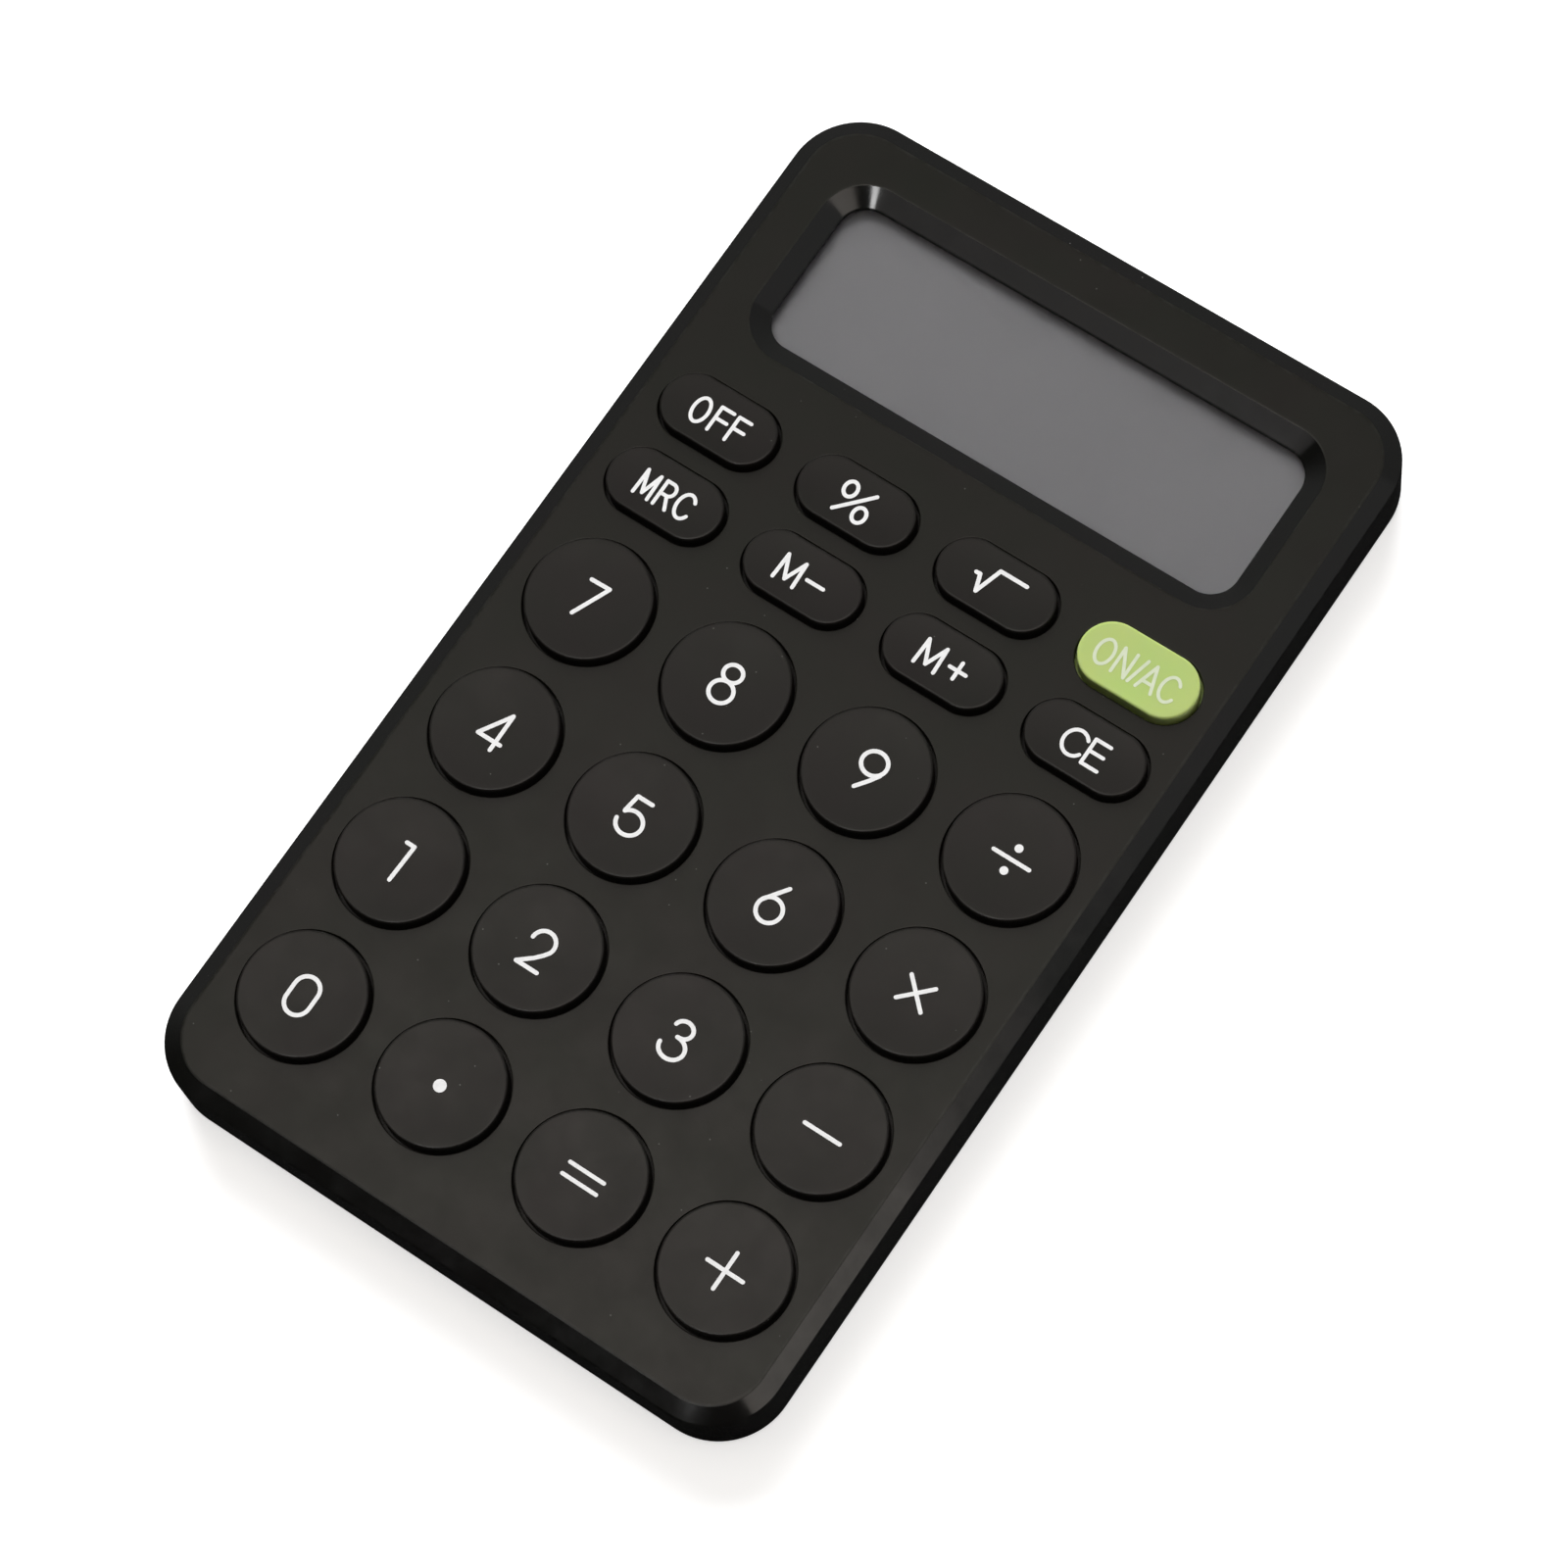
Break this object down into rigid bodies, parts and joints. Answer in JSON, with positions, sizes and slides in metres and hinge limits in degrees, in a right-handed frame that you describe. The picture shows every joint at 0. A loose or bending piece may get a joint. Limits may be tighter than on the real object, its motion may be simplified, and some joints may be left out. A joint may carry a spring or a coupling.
{
  "type": "pocket calculator",
  "caption": "Slim handheld calculator with round digit keys, long function keys, a sunk display and a coin-turned battery cover.",
  "frame": {"origin": "middle of the footprint, on the surface that the rubber feet stand on", "axes": "+Y towards the display end, +Z out of the face, +X to the right as the keys are read"},
  "size_m": [0.07, 0.12, 0.0095],
  "materials": {
    "face_plastic": "matte face with a glossy bevel and display rim, near-black warm charcoal",
    "back_plastic": "fine spark texture, charcoal",
    "key_plastic": "satin charcoal, lightly rounded edges",
    "green_key_plastic": "satin yellow-green",
    "window": "clear acrylic",
    "black_tape": "double-sided foam tape",
    "polariser": "grey polarising film, satin",
    "lcd_glass": "clear glass",
    "reflector": "silver-grey rear polariser with reflector",
    "holder_plastic": "natural white moulding",
    "zebra_rubber": "silicone with conductive layers",
    "board": "green solder resist over glass epoxy",
    "epoxy": "black potting epoxy",
    "capacitor": "ceramic chip",
    "resistor": "chip resistor",
    "silicone": "translucent grey silicone",
    "carbon_rubber": "conductive carbon rubber",
    "cell_steel": "nickel-plated steel can",
    "contact_metal": "nickel-plated spring strip",
    "screw_steel": "zinc-plated steel",
    "foot_rubber": "soft black rubber"
  },
  "bodies": {
    "housing": {"front_shell": "face_plastic", "back_shell": "back_plastic", "display_window": "window", "window_tape": "black_tape", "lcd_polariser": "polariser", "lcd_front_glass": "lcd_glass", "lcd_rear_glass": "lcd_glass", "lcd_reflector": "reflector", "lcd_holder": "holder_plastic", "zebra_strip": "zebra_rubber", "circuit_board": "board", "chip_blob": "epoxy", "board_capacitors": "capacitor", "board_resistors": "resistor", "key_sheet": "silicone", "carbon_pills": "carbon_rubber", "button_cell": "cell_steel", "contact_positive": "contact_metal", "contact_negative": "contact_metal", "case_screws": "screw_steel", "board_screws": "screw_steel", "rubber_feet": "foot_rubber"},
    "battery_cover": {"battery_cover": "back_plastic"},
    "key_off": {"key_off": "key_plastic"},
    "key_percent": {"key_percent": "key_plastic"},
    "key_root": {"key_root": "key_plastic"},
    "key_on_clear": {"key_on_clear": "green_key_plastic"},
    "key_memory_recall": {"key_memory_recall": "key_plastic"},
    "key_memory_minus": {"key_memory_minus": "key_plastic"},
    "key_memory_plus": {"key_memory_plus": "key_plastic"},
    "key_clear_entry": {"key_clear_entry": "key_plastic"},
    "key_7": {"key_7": "key_plastic"},
    "key_8": {"key_8": "key_plastic"},
    "key_9": {"key_9": "key_plastic"},
    "key_divide": {"key_divide": "key_plastic"},
    "key_4": {"key_4": "key_plastic"},
    "key_5": {"key_5": "key_plastic"},
    "key_6": {"key_6": "key_plastic"},
    "key_multiply": {"key_multiply": "key_plastic"},
    "key_1": {"key_1": "key_plastic"},
    "key_2": {"key_2": "key_plastic"},
    "key_3": {"key_3": "key_plastic"},
    "key_minus": {"key_minus": "key_plastic"},
    "key_0": {"key_0": "key_plastic"},
    "key_point": {"key_point": "key_plastic"},
    "key_equals": {"key_equals": "key_plastic"},
    "key_plus": {"key_plus": "key_plastic"}
  },
  "joints": [
    {"name": "key_off_press", "type": "slide", "parent": "housing", "child": "key_off", "axis": [0, 0, -1], "range_m": [0, 0.0008], "stiffness_N_per_m": 900, "deforming": ["key_sheet"]},
    {"name": "key_percent_press", "type": "slide", "parent": "housing", "child": "key_percent", "axis": [0, 0, -1], "range_m": [0, 0.0008], "stiffness_N_per_m": 900, "deforming": ["key_sheet"]},
    {"name": "key_root_press", "type": "slide", "parent": "housing", "child": "key_root", "axis": [0, 0, -1], "range_m": [0, 0.0008], "stiffness_N_per_m": 900, "deforming": ["key_sheet"]},
    {"name": "key_on_clear_press", "type": "slide", "parent": "housing", "child": "key_on_clear", "axis": [0, 0, -1], "range_m": [0, 0.0008], "stiffness_N_per_m": 900, "deforming": ["key_sheet"]},
    {"name": "key_memory_recall_press", "type": "slide", "parent": "housing", "child": "key_memory_recall", "axis": [0, 0, -1], "range_m": [0, 0.0008], "stiffness_N_per_m": 900, "deforming": ["key_sheet"]},
    {"name": "key_memory_minus_press", "type": "slide", "parent": "housing", "child": "key_memory_minus", "axis": [0, 0, -1], "range_m": [0, 0.0008], "stiffness_N_per_m": 900, "deforming": ["key_sheet"]},
    {"name": "key_memory_plus_press", "type": "slide", "parent": "housing", "child": "key_memory_plus", "axis": [0, 0, -1], "range_m": [0, 0.0008], "stiffness_N_per_m": 900, "deforming": ["key_sheet"]},
    {"name": "key_clear_entry_press", "type": "slide", "parent": "housing", "child": "key_clear_entry", "axis": [0, 0, -1], "range_m": [0, 0.0008], "stiffness_N_per_m": 900, "deforming": ["key_sheet"]},
    {"name": "key_7_press", "type": "slide", "parent": "housing", "child": "key_7", "axis": [0, 0, -1], "range_m": [0, 0.0008], "stiffness_N_per_m": 900, "deforming": ["key_sheet"]},
    {"name": "key_8_press", "type": "slide", "parent": "housing", "child": "key_8", "axis": [0, 0, -1], "range_m": [0, 0.0008], "stiffness_N_per_m": 900, "deforming": ["key_sheet"]},
    {"name": "key_9_press", "type": "slide", "parent": "housing", "child": "key_9", "axis": [0, 0, -1], "range_m": [0, 0.0008], "stiffness_N_per_m": 900, "deforming": ["key_sheet"]},
    {"name": "key_divide_press", "type": "slide", "parent": "housing", "child": "key_divide", "axis": [0, 0, -1], "range_m": [0, 0.0008], "stiffness_N_per_m": 900, "deforming": ["key_sheet"]},
    {"name": "key_4_press", "type": "slide", "parent": "housing", "child": "key_4", "axis": [0, 0, -1], "range_m": [0, 0.0008], "stiffness_N_per_m": 900, "deforming": ["key_sheet"]},
    {"name": "key_5_press", "type": "slide", "parent": "housing", "child": "key_5", "axis": [0, 0, -1], "range_m": [0, 0.0008], "stiffness_N_per_m": 900, "deforming": ["key_sheet"]},
    {"name": "key_6_press", "type": "slide", "parent": "housing", "child": "key_6", "axis": [0, 0, -1], "range_m": [0, 0.0008], "stiffness_N_per_m": 900, "deforming": ["key_sheet"]},
    {"name": "key_multiply_press", "type": "slide", "parent": "housing", "child": "key_multiply", "axis": [0, 0, -1], "range_m": [0, 0.0008], "stiffness_N_per_m": 900, "deforming": ["key_sheet"]},
    {"name": "key_1_press", "type": "slide", "parent": "housing", "child": "key_1", "axis": [0, 0, -1], "range_m": [0, 0.0008], "stiffness_N_per_m": 900, "deforming": ["key_sheet"]},
    {"name": "key_2_press", "type": "slide", "parent": "housing", "child": "key_2", "axis": [0, 0, -1], "range_m": [0, 0.0008], "stiffness_N_per_m": 900, "deforming": ["key_sheet"]},
    {"name": "key_3_press", "type": "slide", "parent": "housing", "child": "key_3", "axis": [0, 0, -1], "range_m": [0, 0.0008], "stiffness_N_per_m": 900, "deforming": ["key_sheet"]},
    {"name": "key_minus_press", "type": "slide", "parent": "housing", "child": "key_minus", "axis": [0, 0, -1], "range_m": [0, 0.0008], "stiffness_N_per_m": 900, "deforming": ["key_sheet"]},
    {"name": "key_0_press", "type": "slide", "parent": "housing", "child": "key_0", "axis": [0, 0, -1], "range_m": [0, 0.0008], "stiffness_N_per_m": 900, "deforming": ["key_sheet"]},
    {"name": "key_point_press", "type": "slide", "parent": "housing", "child": "key_point", "axis": [0, 0, -1], "range_m": [0, 0.0008], "stiffness_N_per_m": 900, "deforming": ["key_sheet"]},
    {"name": "key_equals_press", "type": "slide", "parent": "housing", "child": "key_equals", "axis": [0, 0, -1], "range_m": [0, 0.0008], "stiffness_N_per_m": 900, "deforming": ["key_sheet"]},
    {"name": "key_plus_press", "type": "slide", "parent": "housing", "child": "key_plus", "axis": [0, 0, -1], "range_m": [0, 0.0008], "stiffness_N_per_m": 900, "deforming": ["key_sheet"]},
    {"name": "battery_cover_turn", "type": "hinge", "parent": "housing", "child": "battery_cover", "pos_m": [0, 0.047, 0.0005], "axis": [0, 0, -1], "range_deg": [0, 60]}
  ]
}
